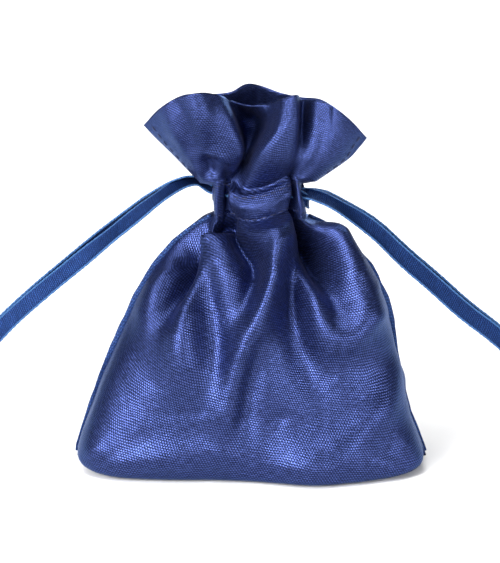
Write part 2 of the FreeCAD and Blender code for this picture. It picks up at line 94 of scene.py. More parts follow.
def second_material(obj, material, where):
    """Give the faces marked in where a second material."""
    obj.data.materials.append(material)
    obj.data.polygons.foreach_set("material_index", [int(mark) for mark in where])


def thicken(obj, thickness, offset):
    """Give a single-skin sheet of cloth its thickness, in millimetres."""
    ply = obj.modifiers.new("ply", "SOLIDIFY")
    ply.thickness = thickness * MM
    ply.offset = offset


def tube_faces(rings, sides, first=0, closed=False, flip=False):
    """Quads round a tube of rings, with a face over each end unless the tube closes on itself."""
    faces = []
    for i in range(rings if closed else rings - 1):
        here = first + i * sides
        there = first + (i + 1) % rings * sides
        for k in range(sides):
            a, b = k, (k + 1) % sides
            if flip:
                a, b = b, a
            faces.append((here + a, here + b, there + b, there + a))
    if not closed:
        last = first + (rings - 1) * sides
        caps = [tuple(range(first + sides - 1, first - 1, -1)), tuple(range(last, last + sides))]
        faces += [cap[::-1] for cap in caps] if flip else caps
    return faces


def sheet_faces(index):
    """Quads of a grid of vertex numbers, row by row."""
    corners = [index[:-1, :-1], index[:-1, 1:], index[1:, 1:], index[1:, :-1]]
    return np.stack(corners, -1).reshape(-1, 4)


def step(low, high, x):
    """Smooth step from 0 at low to 1 at high."""
    t = np.clip((np.asarray(x, float) - low) / (high - low), 0.0, 1.0)
    return t * t * (3 - 2 * t)


def unit(vectors, least=0.0):
    """Vectors scaled to length 1. least keeps a vector of no length from being divided by zero."""
    return vectors / (np.linalg.norm(vectors, axis=-1, keepdims=True) + least)


def lengths(points):
    """Way along a line of points from its first point to each point."""
    points = np.asarray(points, float)
    return np.concatenate([[0], np.cumsum(np.linalg.norm(np.diff(points, axis=0), axis=1))])


def noise3(points, scale, seed):
    """Smooth value noise between -1 and 1, from a seeded lattice."""
    cells = 17
    grid = np.random.default_rng(seed).uniform(-1, 1, (cells, cells, cells))
    p = np.asarray(points, float) / scale + 31.7
    cell = np.floor(p).astype(int)
    f = p - cell
    f = f * f * (3 - 2 * f)
    total = 0.0
    for corner in np.ndindex(2, 2, 2):
        weight = np.prod([f[..., k] if corner[k] else 1 - f[..., k] for k in range(3)], axis=0)
        at = [(cell[..., k] + corner[k]) % cells for k in range(3)]
        total = total + weight * grid[at[0], at[1], at[2]]
    return total


# ---------------- materials
class Shader:
    """A material made of shader nodes round one Principled shader."""

    def __init__(self, name):
        self.material = bpy.data.materials.new(name)
        self.material.use_nodes = True
        self.tree = self.material.node_tree
        self.tree.nodes.clear()
        self.surface = self.node("BsdfPrincipled")
        self.link(self.surface.outputs["BSDF"], self.node("OutputMaterial").inputs["Surface"])

    def node(self, kind):
        return self.tree.nodes.new("ShaderNode" + kind)

    def link(self, source, target):
        self.tree.links.new(source, target)

    def set(self, socket, value):
        """Set one of the Principled shader's inputs to a constant, or link it to a node."""
        target = self.surface.inputs[socket]
        if isinstance(value, bpy.types.NodeSocket):
            self.link(value, target)
        else:
            target.default_value = value

    def math(self, operation, *values):
        node = self.node("Math")
        node.operation = operation
        for socket, value in zip(node.inputs, values):
            if isinstance(value, (int, float)):
                socket.default_value = value
            else:
                self.link(value, socket)
        return node.outputs[0]

    def noise(self, vector, scale, detail):
        node = self.node("TexNoise")
        node.inputs["Scale"].default_value = scale
        node.inputs["Detail"].default_value = detail
        self.link(vector, node.inputs["Vector"])
        return node.outputs["Fac"]

    def ramp(self, fac, stops):
        ramp = self.node("ValToRGB")
        elements = ramp.color_ramp.elements
        for element, (position, colour) in zip(elements, (stops[0], stops[-1])):
            element.position = position
            element.color = colour + (1.0,)
        for position, colour in stops[1:-1]:
            elements.new(position).color = colour + (1.0,)
        self.link(fac, ramp.inputs[0])
        return ramp.outputs[0]

    def bump(self, height, strength, distance):
        relief = self.node("Bump")
        relief.inputs["Strength"].default_value = strength
        relief.inputs["Distance"].default_value = distance
        self.link(height, relief.inputs["Height"])
        self.set("Normal", relief.outputs[0])

    def cloth_place(self):
        """The UV vector, which is millimetres of cloth, and its parts across and up the cloth."""
        uv = self.node("UVMap")
        uv.uv_map = "UVMap"
        split = self.node("SeparateXYZ")
        self.link(uv.outputs["UV"], split.inputs[0])
        return uv.outputs["UV"], split.outputs[0], split.outputs[1]


ROW_SLANT = 0.20
ROW_OFFSET = 0.4
ROW_SHARE, THREAD_SHARE = 0.45, 0.55
SLUB_STRETCH = (0.35, 2.2, 1.0)
MIDDLE_TONE = 0.46
TONE_STOPS = (0.10, 0.48, 0.86)
WEAVE_DEPTH = 0.00020
PLY_DEPTH = 0.00008


def woven(name, dark, mid, light, rows, threads, rough, metal, bump, sheen, contrast=0.30):
    """Woven cloth: a row of floats every `rows` mm up the cloth, a thread every `threads` mm across."""
    shader = Shader(name)
    uv, across, up = shader.cloth_place()

    # slow drift, so that no row is ruled straight
    wander = shader.math("MULTIPLY", shader.noise(uv, 0.09, 2.0), 2.4)
    row = shader.math("ADD", shader.math("MULTIPLY_ADD", across, ROW_SLANT, up), wander)
    row_wave = shader.math("SINE", shader.math("MULTIPLY", row, TURN / rows))
    # each row of floats is set off sideways from the next
    row_index = shader.math("FLOOR", shader.math("DIVIDE", up, rows))
    thread = shader.math("ADD", across, shader.math("MULTIPLY", row_index, ROW_OFFSET * threads))
    thread_wave = shader.math("SINE", shader.math("MULTIPLY", thread, TURN / threads))
    weave = shader.math("ADD", shader.math("MULTIPLY", row_wave, ROW_SHARE),
                        shader.math("MULTIPLY", thread_wave, THREAD_SHARE))

    # single threads are a little lighter or darker
    stretch = shader.node("Mapping")
    stretch.inputs["Scale"].default_value = SLUB_STRETCH
    shader.link(uv, stretch.inputs["Vector"])
    slub = shader.noise(stretch.outputs[0], 1.5, 3.0)
    tone = shader.math("ADD", shader.math("MULTIPLY_ADD", weave, contrast, MIDDLE_TONE),
                       shader.math("MULTIPLY_ADD", slub, 0.9, -0.45))
    shader.set("Base Color", shader.ramp(tone, list(zip(TONE_STOPS, (dark, mid, light)))))
    roughness = shader.math("MULTIPLY_ADD", slub, 0.14, rough - 0.07)
    shader.set("Roughness", shader.math("MULTIPLY_ADD", weave, -0.07, roughness))

    shader.set("Metallic", metal)
    shader.set("Sheen Weight", sheen)
    shader.set("Sheen Roughness", 0.35)
    shader.set("Sheen Tint", (0.42, 0.42, 0.75, 1.0))
    shader.set("Specular Tint", (0.50, 0.66, 1.0, 1.0))
    shader.set("Anisotropic", 0.6)
    tangent = shader.node("Tangent")
    tangent.direction_type = "UV_MAP"
    tangent.uv_map = "UVMap"
    shader.set("Tangent", tangent.outputs[0])

    crepe = shader.noise(uv, 0.7, 3.0)
    height = shader.math("MULTIPLY_ADD", crepe, 0.7, shader.math("MULTIPLY", weave, 0.5))
    shader.bump(height, bump, WEAVE_DEPTH)
    return shader.material


SATIN = woven("satin_navy", dark=(0.005, 0.0072, 0.026), mid=(0.015, 0.022, 0.079),
              light=(0.058, 0.086, 0.27), rows=0.66, threads=0.6, rough=0.34, metal=0.82, bump=0.42,
              sheen=0.04, contrast=0.4)
SEAM = woven("satin_seam_edge", dark=(0.005, 0.012, 0.05), mid=(0.011, 0.028, 0.105),
             light=(0.032, 0.075, 0.23), rows=0.95, threads=0.62, rough=0.5, metal=0.5, bump=0.6,
             sheen=0.05)
RIBBON = woven("ribbon_blue", dark=(0.0012, 0.0048, 0.025), mid=(0.003, 0.0125, 0.06),
               light=(0.01, 0.036, 0.14), rows=0.62, threads=0.6, rough=0.44, metal=0.72, bump=0.5,
               sheen=0.02, contrast=0.36)
SELVEDGE = woven("ribbon_selvedge", dark=(0.01, 0.036, 0.12), mid=(0.028, 0.09, 0.235),
                 light=(0.1, 0.22, 0.43), rows=0.5, threads=0.5, rough=0.5, metal=0.3, bump=0.6,
                 sheen=0.1)


def sewing_thread(name, dark, light):
    """Thread of two plies twisted together."""
    shader = Shader(name)
    _, across, up = shader.cloth_place()
    twist = shader.math("ADD", shader.math("MULTIPLY", across, 14.0), shader.math("MULTIPLY", up, 6.283))
    ply = shader.math("MULTIPLY_ADD", shader.math("SINE", twist), 0.5, 0.5)
    shader.set("Base Color", shader.ramp(ply, [(0.0, dark), (1.0, light)]))
    shader.set("Roughness", 0.6)
    shader.bump(ply, 0.6, PLY_DEPTH)
    return shader.material


THREAD = sewing_thread("thread_navy", (0.005, 0.007, 0.028), (0.017, 0.023, 0.085))

# ---------------- ribbon drawstrings
RIBBON_WIDE = 5.0
STEPS_PER_POINT = 28
HALF_WIDE = RIBBON_WIDE / 2
# Where each drawstring leaves the neck: place across, distance from the middle plane, height.
EXIT = {"left": (-10.9, 2.4, 79.4), "right": (14.1, 1.6, 79.4)}
# Points of the runs inside the neck and of the way out to the tails: (front, back) strand.
# On the left both strands pass behind the lower corner of the header.
INSIDE = {
    "left": (
        [(13, -2.4, 79.2), (8, -2.4, 79.5), (2, -2.4, 79.3), (-4.5, -2.2, 79.2), (-9.2, -0.6, 79.2),
         (-12.4, 1.9, 80.4), (-15.6, 2.2, 82), (-19.8, 0.2, 81.8), (-26.5, -2.6, 77.8)],
        [(13, 2.4, 79.2), (8, 2.4, 79.5), (2, 2.4, 79.3), (-4.5, 2.4, 79.2), (-9.2, 1.6, 79.4),
         (-12.4, 3.2, 80.8), (-15.6, 3.6, 82.4), (-19.8, 2.6, 82.4), (-26.5, 3.2, 78.6)]),
    "right": (
        [(-9, -1.5, 79.5), (-4, -1.5, 79.3), (2, -1.5, 79.5), (8.5, -1.5, 79.4), (13.6, -1.7, 79.2),
         (18, -3.2, 78.6), (22.8, -4.8, 76.8)],
        [(-9, 1.5, 79.5), (-4, 1.5, 79.3), (2, 1.5, 79.5), (8.5, 1.5, 79.4), (13.6, 1.7, 79.2),
         (18, 3, 78.8), (22.8, 4.4, 77)]),
}
# The free tails down to the knot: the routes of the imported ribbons, front strand. The back strand
# mirrors them in the middle plane.
TAIL = {
    "left": [(-33.8, -4.4, 71.4), (-42.5, -3, 63.9), (-52, -2, 56.1), (-61.5, -1.5, 48.9),
             (-71, -1.2, 40.3), (-79.5, -1, 30.6), (-86.5, -1, 20.8), (-93, -1.1, 11.6),
             (-99, -1.1, 5.4), (-105.5, -1, 2.7), (-112, -1, 2.7)],
    "right": [(33.9, -4, 70.6), (42.3, -3, 61.9), (51.5, -2, 54), (60.5, -1.5, 45.6),
              (70, -1.2, 38.2), (78.5, -1, 29.6), (85.5, -1, 20.1), (92, -1.1, 11.4),
              (98.1, -1.1, 5.3), (104.6, -1, 2.7), (111, -1, 2.7)],
}
# How far each strand lies above those points: the back one of a pair shows over the front one.
LIFT = {
    "left": ((0.9, 1, 0.8, 0.1, 0, 0, 0, 0, 0, 0, 0),
             (1.6, 1.9, 1.6, 0.8, 0.4, 0.3, 0.2, 0.1, 0, 0, 0)),
    "right": ((-1, -1, -1.2, -1.2, -0.8, -0.4, -0.1, 0, 0, 0, 0),
              (-0.9, -0.4, -0.3, -0.3, -0.2, 0.1, 0.2, 0.1, 0, 0, 0)),
}
# The last point of a strand lies inside the knot.
IN_KNOT = {"left": -114.8, "right": 113.8}
# Roll of the ribbons in radians, at the neck and half way down, and the shares of the length between
# which it eases. The back ribbon has its own roll half way down.
ROLLS = {"left": (1.25, 0.50, 0.20, 0.46), "right": (1.20, 0.32, 0.15, 0.38)}
BACK_ROLL = 0.45
# Return bends, where each drawstring turns back just outside the neck on its far side, and how wide
# the gathered ribbon is there.
BENDS = {
    "left": (3, [(11.6, -2.4, 79.2), (13.8, -2.9, 78.4), (15.2, -2.8, 76.9), (15.9, -1.4, 76),
                   (16.1, 0, 75.8), (15.9, 1.4, 76), (15.2, 2.8, 76.9), (13.8, 2.9, 78.4),
                   (11.6, 2.4, 79.2)]),
    "right": (4.4, [(-7.2, -1.5, 79.4), (-8.8, -1.8, 79.4), (-10, -1.5, 79.4), (-10.5, 0, 79.4),
                    (-10, 1.5, 79.4), (-8.8, 1.8, 79.4), (-7.2, 1.5, 79.4)]),
}
# The two cut ends behind a knot: start across, sideways splay, reach beyond the knot.
CUT_ENDS = (("near", -0.9, -2.2, 10.6), ("far", 0.9, 2.6, 9.4))
# Height of the middle line of a ribbon that stands on its edge on the floor.
ON_FLOOR = 2.7

# Section of a ribbon across its width, as (place, half thickness): thin in the middle, with a
# thicker woven selvedge at each edge.
EDGE = [(-2.50, 0.05), (-2.46, 0.20), (-2.28, 0.25), (-2.08, 0.20), (-1.92, 0.13), (-0.9, 0.12)]
SECTION = EDGE + [(0, 0.12)] + [(-x, t) for x, t in reversed(EDGE)]
RIBBON_RING = SECTION + [(x, -t) for x, t in reversed(SECTION)]
SELVEDGE_FROM = 2.0
SELVEDGE_UV = 30
PICOT_FROM = 2.2
PICOT_EVERY, PICOT_HIGH = 1.15, 0.11
CUT_LONG = 2.6
# Section of the band that a knot is wound from.
KNOT_RING = [(-1.55, 0.10), (-1.45, 0.34), (-0.8, 0.46), (0, 0.5), (0.8, 0.46), (1.45, 0.34),
             (1.55, 0.10), (1.45, -0.2), (0, -0.3), (-1.45, -0.2)]
KNOT_STEPS = 260
KNOT_LONG, KNOT_SIZE = 1.45, 0.80


def nurbs_points(points):
    """Points along the NURBS spline of a route, read from an un-bevelled curve. Millimetres."""
    curve = bpy.data.curves.new("route", "CURVE")
    curve.dimensions = "3D"
    spline = curve.splines.new("NURBS")
    spline.points.add(len(points) - 1)
    for point, co in zip(spline.points, points):
        point.co = (co[0] * MM, co[1] * MM, co[2] * MM, 1.0)
    spline.order_u = 3
    spline.use_endpoint_u = True
    spline.resolution_u = STEPS_PER_POINT
    obj = add_object("route", curve)
    bpy.context.view_layer.update()
    mesh = bpy.data.meshes.new_from_object(obj.evaluated_get(bpy.context.evaluated_depsgraph_get()))
    line = np.array([v.co[:] for v in mesh.vertices]) / MM
    bpy.data.objects.remove(obj)
    bpy.data.curves.remove(curve)
    bpy.data.meshes.remove(mesh)
    return line


def line_length(line):
    return float(np.linalg.norm(np.diff(line, axis=0), axis=1).sum())


def ribbon_mesh(name, pts, roll, wide=RIBBON_WIDE, seed=1, slant=0.0, flutter=1.0):
    """A woven ribbon along a line of points. roll(share) turns its width about the line, in radians, from
    the upright direction. slant cuts its end on the slant, in millimetres."""
    at = lengths(pts)
    total = at[-1]
    tangent = unit(np.gradient(pts, axis=0))
    side = unit(np.cross(np.array([0.0, 0.0, 1.0]), tangent))
    upright = np.cross(tangent, side)
    # a limp ribbon never turns evenly
    rng = np.random.default_rng(seed)
    waves = [(rng.uniform(16, 34), rng.uniform(0, 6.28), rng.uniform(0.4, 1.0)) for _ in range(4)]
    wobble = sum(a * np.sin(at * TURN / w + p) for w, p, a in waves) / 2.5
    angle = np.array([roll(t / total) for t in at]) + 0.07 * flutter * wobble
    broad = upright * np.cos(angle)[:, None] + side * np.sin(angle)[:, None]
    thin = np.cross(tangent, broad)
    # it cups a little across its width, more in some places than in others
    cup = 0.10 * flutter * (1 + 0.8 * np.sin(at / 11.0 + seed))
    ratio = wide / RIBBON_WIDE
    verts, uvs = [], []
    for i, p in enumerate(pts):
        # picots: small loops of weft along both edges, none quite like the next
        picot = PICOT_HIGH * math.sin(at[i] * TURN / PICOT_EVERY + seed) + 0.04 * math.sin(at[i] * 7.1)
        near_end = max(0.0, 1 - (total - at[i]) / CUT_LONG)
        for x, t in RIBBON_RING:
            edge = abs(x) > PICOT_FROM
            place = x * ratio + (math.copysign(picot, x) if edge else 0.0)
            bow = cup[i] * ((x / HALF_WIDE) ** 2 - 0.4)
            shift = slant * (x / HALF_WIDE) * near_end
            verts.append(p + broad[i] * place + thin[i] * (t + bow) + tangent[i] * shift)
            uvs.append((x * ratio + (SELVEDGE_UV if edge else 0), at[i]))
    sides = len(RIBBON_RING)
    obj = mesh_object(name, verts, tube_faces(len(pts), sides), RIBBON, uvs=uvs)
    outer = [abs(x) > SELVEDGE_FROM for x, _ in RIBBON_RING]
    selvedge = [outer[k] and outer[(k + 1) % sides] for k in range(sides)]
    second_material(obj, SELVEDGE, selvedge * (len(pts) - 1) + [False, False])
    return obj


def knot_mesh(name, middle):
    """Overhand knot of both strands, pulled tight: a flattened band wound round itself."""
    t = np.linspace(0, TURN, KNOT_STEPS, endpoint=False)
    loop = np.stack([-KNOT_LONG * np.sin(3 * t), KNOT_SIZE * (np.sin(t) + 2 * np.sin(2 * t)),
                     KNOT_SIZE * (np.cos(t) - 2 * np.cos(2 * t))], 1)
    tangent = unit(np.roll(loop, -1, axis=0) - np.roll(loop, 1, axis=0))
    # the band's flat side faces away from the knot's long axis
    out = loop * np.array([0.25, 1, 1])
    out -= (out * tangent).sum(1, keepdims=True) * tangent
    out = unit(out, 1e-9)
    across = np.cross(tangent, out)
    far = lengths(loop)
    verts, uvs = [], []
    for i in range(KNOT_STEPS):
        crease = 0.05 * math.sin(t[i] * 17) + 0.04 * math.sin(t[i] * 29 + 1)
        for a, b in KNOT_RING:
            verts.append(middle + loop[i] + across[i] * a + out[i] * (b + crease * (1 - abs(a) / 2)))
            uvs.append((a * 1.6, far[i]))
    return mesh_object(name, verts, tube_faces(KNOT_STEPS, len(KNOT_RING), closed=True), RIBBON, uvs=uvs)


def strand(side, front, roll, seed):
    """One strand of a drawstring: the run in the neck and the tail to the knot, as one ribbon."""
    which = 0 if front else 1
    points = list(INSIDE[side][which])
    points += [(x, y if front else -y, z + lift) for (x, y, z), lift in zip(TAIL[side], LIFT[side][which])]
    points.append((IN_KNOT[side], -0.5 if front else 0.5, 2.9))
    word = "front" if front else "back"
    line = nurbs_points(points)
    obj = ribbon_mesh("%s_ribbon_%s" % (side, word), line, roll, seed=seed)
    x, y, z = EXIT[side]
    exit_point = [x * MM, (-y if front else y) * MM, z * MM]
    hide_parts("%s_run_%s" % (side, word), "%s_tail_%s" % (side, word))
    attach(obj, side + "_drawstring")
    return obj, line, exit_point


def roll_of(near, middle, start, stop):
    """Turn of a ribbon about its line: gathered near the neck, easing on the way down, flat at the knot."""
    def roll(share):
        if share < stop:
            return near + (middle - near) * float(step(start, stop, share))
        return middle * (1 - float(step(stop, 0.9, share)))
    return roll


for side, sign in (("left", -1), ("right", 1)):
    low, high = (Vector(c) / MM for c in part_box(side + "_knot"))
    centre = np.array((low + high) / 2)
    knot = knot_mesh(side + "_ribbon_knot", centre + np.array([0, 0, -0.1]))
    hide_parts(side + "_knot")
    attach(knot, side + "_drawstring")
    tip_side = low.x if side == "left" else high.x
    ends = []
    for word, y, splay, tip in CUT_ENDS:
        points = [(tip_side - sign * 2.8, y * 0.6, 2.75), (tip_side + sign * 2, y, ON_FLOOR),
                  (tip_side + sign * 5.5, y + splay * 0.3, ON_FLOOR),
                  (tip_side + sign * tip, y + splay, ON_FLOOR)]
        end = ribbon_mesh("%s_ribbon_end_%s" % (side, word), nurbs_points(points),
                          lambda share: 0.05, seed=7, slant=1.4)
        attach(end, side + "_drawstring")
        ends.append(end)
    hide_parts(side + "_ribbon_ends")
    near, middle, start, stop = ROLLS[side]
    strands = (strand(side, True, roll_of(sign * near, sign * middle, start, stop), 3),
               strand(side, False, roll_of(-sign * near, -sign * BACK_ROLL, start, stop), 5))
    for (obj, line, exit_point), pieces in zip(strands, ([knot] + ends, [knot])):
        line_length(line) * MM
        [[c * MM for c in p] for p in line]
        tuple(exit_point)
        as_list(pieces)

for side, (wide, points) in BENDS.items():
    bend = ribbon_mesh(side + "_ribbon_bend", nurbs_points(points), lambda share: 0.0,
                       wide=wide, seed=11, flutter=0.5)
    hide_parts(side + "_return_bend")
    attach(bend, "pouch")

# ---------------- satin cloth: shape
# One strip of satin is folded at the base and sewn up both sides. Each panel is a grid: u from 0
# to 1 across, v in millimetres up the cloth: body, drawstring channel, header.
BODY, CHANNEL, HEADER = 97.0, 10.6, 30.0
CUT_WIDE = 104.0
ACROSS = 116
ROW_HIGH = 0.88
CLOTH_PLY = 0.35
# The sheet stays at least this high above the floor.
RESTS_AT = 0.15
# The plain ring of the neck before it is gathered: its height, half its width and depth, how square
# it is, and how far to the right it stands.
NECK_LOW = 72.3
NECK_WIDE, NECK_DEEP, NECK_POWER, NECK_RIGHT = 12.6, 8.6, 2.4, 1.8
# The slits where the ribbons leave: middle and half of their height, and half of their opening.
SLIT_MID, SLIT_HALF, SLIT_OPEN = 78.8, 2.3, 2.6
# The front of the base stands further out on the right: share, middle and half width of the swell.
TOE_SWELL, TOE_AT, TOE_WIDE = 0.26, 18.5, 16.0
# Small wrinkles of a soft cloth: height, size, seed.
BODY_WRINKLES = ((0.3, 21.0, 6), (0.22, 8.0, 4), (0.08, 4.0, 9))
HEADER_WRINKLES = ((0.22, 8.0, 21), (0.10, 3.6, 22))

# Middle line of a panel: depth from the middle plane and height.
CENTRE = [(0, 0.15), (10, 0.15), (19.5, 0.15), (22, 1.2), (23.3, 4.5), (24, 10), (24.3, 18), (23.6, 31),
          (21.2, 45), (16.8, 56.5), (12, 65.5), (8.9, 72.3)]
# Side seams: place across and height.
SIDE_LEFT = [(-50.4, 1.6), (-50.2, 5), (-48.6, 10), (-46.4, 16), (-44.5, 21), (-41.9, 28), (-38.4, 35.5),
             (-35.3, 42.5), (-32.6, 48.5), (-27.6, 57.2), (-21.6, 64.6), (-16.4, 69), (-10.9, 72.3)]
SIDE_RIGHT = [(50.2, 1.6), (49.2, 5), (47.4, 9.5), (45.2, 15), (43.8, 20.5), (42.3, 28), (40.6, 35),
              (39, 42), (37.2, 48), (33, 57), (28.2, 63), (23.2, 67.4), (18.8, 70.2), (14.3, 72.3)]

# The gathered channel in plan, from the left seam round the front to the right seam, and the same
# round the back. The header's rows below have the same number of points: each point is one ridge
# or valley that runs up from the channel to the rim.
NECK_FRONT = [
    [(-10.6, 0, 72.3), (-10.6, -3.4, 72.3), (-9.8, -6.8, 72.2), (-8.3, -5.2, 72.2), (-7.2, -3.2, 72.2),
     (-4, -3.2, 72), (-3.4, -6.8, 71.9), (-0.4, -10.2, 72), (4.8, -11.6, 73.4), (9.2, -8.6, 74.6),
     (10, -3.6, 74.4), (11.9, -5.4, 73.8), (13.6, -7, 73.4), (15.2, -3.8, 72.6), (15.2, 0, 72.3)],
    [(-10.8, 0, 75.5), (-10.8, -3.6, 75.6), (-9.9, -7.4, 75.8), (-8.1, -5.6, 75.9), (-7.2, -3.2, 75.8),
     (-5, -3.4, 75.4), (-5.2, -7, 75), (-1.4, -11, 75), (4.8, -12.4, 76.3), (9.9, -8.8, 77.7),
     (10.2, -3.6, 77.6), (11.8, -5.6, 77.2), (13.4, -7.4, 76.8), (14.8, -4, 75.8), (14.8, 0, 75.5)],
    [(-10.9, 0, 78.6), (-10.9, -3.8, 79), (-9.8, -7.6, 79.8), (-7.9, -5.6, 80), (-7.4, -3.2, 79.6),
     (-5.6, -3.4, 79), (-6.6, -7.4, 77.9), (-2.8, -11, 77.4), (4.2, -12.2, 78.4), (10.2, -9.4, 80.4),
     (10.3, -3.6, 80.4), (11.6, -5.4, 80.8), (12.9, -7, 80.4), (13.8, -3.8, 79.2), (13.9, 0, 78.8)],
    [(-10.9, 0, 81), (-10.9, -3.8, 81.6), (-9.9, -7.6, 83.4), (-7.9, -5.8, 83.6), (-7.4, -3.2, 83),
     (-5.6, -3.2, 81.6), (-6.4, -6.6, 80.9), (-3, -8.8, 80.1), (3.8, -9.4, 81.2), (9.8, -7.6, 83.5),
     (10.3, -3.6, 83.4), (11.4, -5.2, 84), (12.4, -6.6, 84.2), (13.6, -3.8, 82.6), (13.9, 0, 81.6)],
]
HEADER_FRONT = [
    [(-14.8, 0, 81.6), (-14.4, -3.4, 82.2), (-12.2, -6.8, 83.6), (-9.4, -7, 84.6), (-7.4, -4.2, 84.2),
     (-5.4, -2.4, 82.6), (-4.8, -3.4, 81.4), (-1.6, -5.8, 80.4), (4.2, -6.4, 81.6), (8.8, -6.4, 84.1),
     (10.6, -3.8, 84.4), (12.2, -5.6, 84.6), (14.4, -6.2, 84), (17, -3.8, 82.6), (18.2, 0, 82)],
    [(-22.2, 0, 89.4), (-20.2, -5, 90.4), (-16, -9.4, 91.2), (-10.6, -10.8, 91.7), (-3.4, -12.2, 91.5),
     (-2.2, -0.6, 90.5), (-1.2, -0.2, 90.5), (0.6, -9, 90.9), (4, -12.8, 91), (9.6, -11.6, 91),
     (13.4, -7.4, 90.2), (16.4, -8.8, 90), (19.9, -7.8, 89.4), (24, -4.6, 88.7), (26.7, 0, 88)],
    [(-27.2, 0, 94.4), (-24.4, -6.6, 96.4), (-19.6, -14.2, 99.9), (-13, -16.6, 102.1), (-5.6, -13.8, 101.2),
     (-3.4, 2.6, 98.6), (1.4, 3.4, 98.2), (4.4, -7, 98.8), (7.8, -13.8, 100), (12, -13, 100.5),
     (14, -2.8, 97.8), (18.2, -7.4, 98.3), (22, -9.4, 97.6), (26.8, -6.2, 95), (30.1, 0, 91.6)],
    [(-30.5, 0, 98), (-27.8, -6, 101.6), (-22.8, -14.6, 106.9), (-16.4, -17.8, 110), (-9, -13.2, 108.9),
     (-5.4, -3.6, 105.2), (-0.8, -3.8, 104), (4.6, -5, 104.8), (8.6, -10.6, 107.6), (12.1, -11.4, 108.5),
     (14.4, 2.4, 104.8), (18.2, -4.6, 105.6), (22.6, -8.6, 104.5), (28.6, -5.6, 98.9), (32.3, 0, 94.4)],
]
# Small folds of the header's front: a dimple over the narrow left pleat, and the rolls round it.
HEADER_FOLDS = [
    [(-12.2, 88.6, -2.2, 1.9), (-11.6, 85.4, -2.6, 1.7), (-10.8, 83.4, -1.4, 1.5)],
    [(-16.4, 90.5, 0.5, 1.5), (-15, 87, 1, 1.3), (-14, 84.6, 0.6, 1.2)],
    [(-11, 91.8, 0.7, 1.2), (-8.4, 91.4, 1, 1.1), (-6.9, 89, 0.5, 1.1)],
    [(16.4, 88, -0.8, 2), (19.8, 94, -0.7, 2.6), (22.4, 99, -0.3, 3)],
    [(-21, 97, 0.6, 2.4), (-17, 92, 0.5, 2)],
    [(-21.5, 107, -1.5, 2.2), (-19, 101, -1.6, 2.2), (-16.4, 94, -0.8, 2)],
    [(-15.4, 110, 1.1, 2.3), (-14, 103, 1.2, 2.5), (-13.4, 96, 0.6, 2.2)],
    [(-9.6, 108, -0.8, 2), (-8.8, 101, -0.9, 2), (-9.4, 95, -0.3, 1.8)],
    [(17.4, 105, 1, 1.6), (17, 100, 0.9, 1.8), (15.6, 94, 0.3, 1.8)],
    [(20.6, 104, -1.1, 1.8), (20.4, 98, -0.9, 2), (18.4, 92, -0.2, 2)],
]
PLAN_BACK = [(-10.8, 0), (-10.6, 4.4), (-9, 8.2), (-7, 5.4), (-4.9, 3.4), (-2.2, 7.2), (1, 9.4), (4.4, 6.4),
             (7, 3.4), (10.2, 8.2), (13.8, 5.2), (14.8, 0)]
NECK_BACK = [[(x * (1 + 0.01 * k), y * swell, z - drop * (abs(x - 1.8) / 13) ** 4) for x, y in PLAN_BACK]
             for k, z, swell, drop in ((0, 72.3, 1, 0), (-1, 75.6, 1.08, 0.2), (-2, 79.6, 1.10, 0.9),
                                       (-3, 83, 1.02, 1.7))]
HEADER_BACK = [
    [(-14.8, 0, 81.6), (-13.4, 0.8, 82.8), (-10.8, 3.4, 83.6), (-7.6, 5.6, 83.8), (-4.6, 3.8, 83.8),
     (-1.6, 6.2, 83.8), (1.4, 7.4, 83.8), (4.6, 5.8, 83.8), (7.6, 4.4, 83.8), (11, 7, 83.6),
     (16, 4.6, 82.8), (18.2, 0, 82)],
    [(-22.2, 0, 89.4), (-18.2, 5, 90.2), (-13.4, 9.6, 90.6), (-9, 8, 90.8), (-5, 6, 90.8),
     (-1.2, 8.4, 90.8), (2.2, 11.4, 90.8), (6.6, 10.2, 90.4), (11, 7, 90.2), (15.4, 9.2, 89.6),
     (21.2, 4.8, 88.8), (26.7, 0, 88)],
    [(-27.2, 0, 94.4), (-22.8, 5.6, 97), (-16.5, 11, 98.5), (-11, 9.6, 99), (-5.8, 7.6, 99.4),
     (-1.4, 10.4, 99.6), (2, 14.6, 99.6), (7.4, 13.2, 98.6), (12.5, 7.6, 98), (18, 10, 96.6),
     (24.8, 5.2, 94), (30.1, 0, 91.6)],
    [(-30.5, 0, 98), (-26, 5.4, 102), (-19, 10.6, 105), (-12.5, 8.6, 105.4), (-6.2, 5.4, 106.6),
     (-1.8, 8.6, 108.4), (2.2, 13.6, 107.2), (8, 11.6, 105.4), (13.5, 6.6, 105), (20, 9.6, 103.6),
     (27, 4.8, 99.4), (32.3, 0, 94.4)],
]
NECK_AT = (0, 0.33, 0.70, 1)
HEADER_AT = (0, 0.30, 0.64, 1)

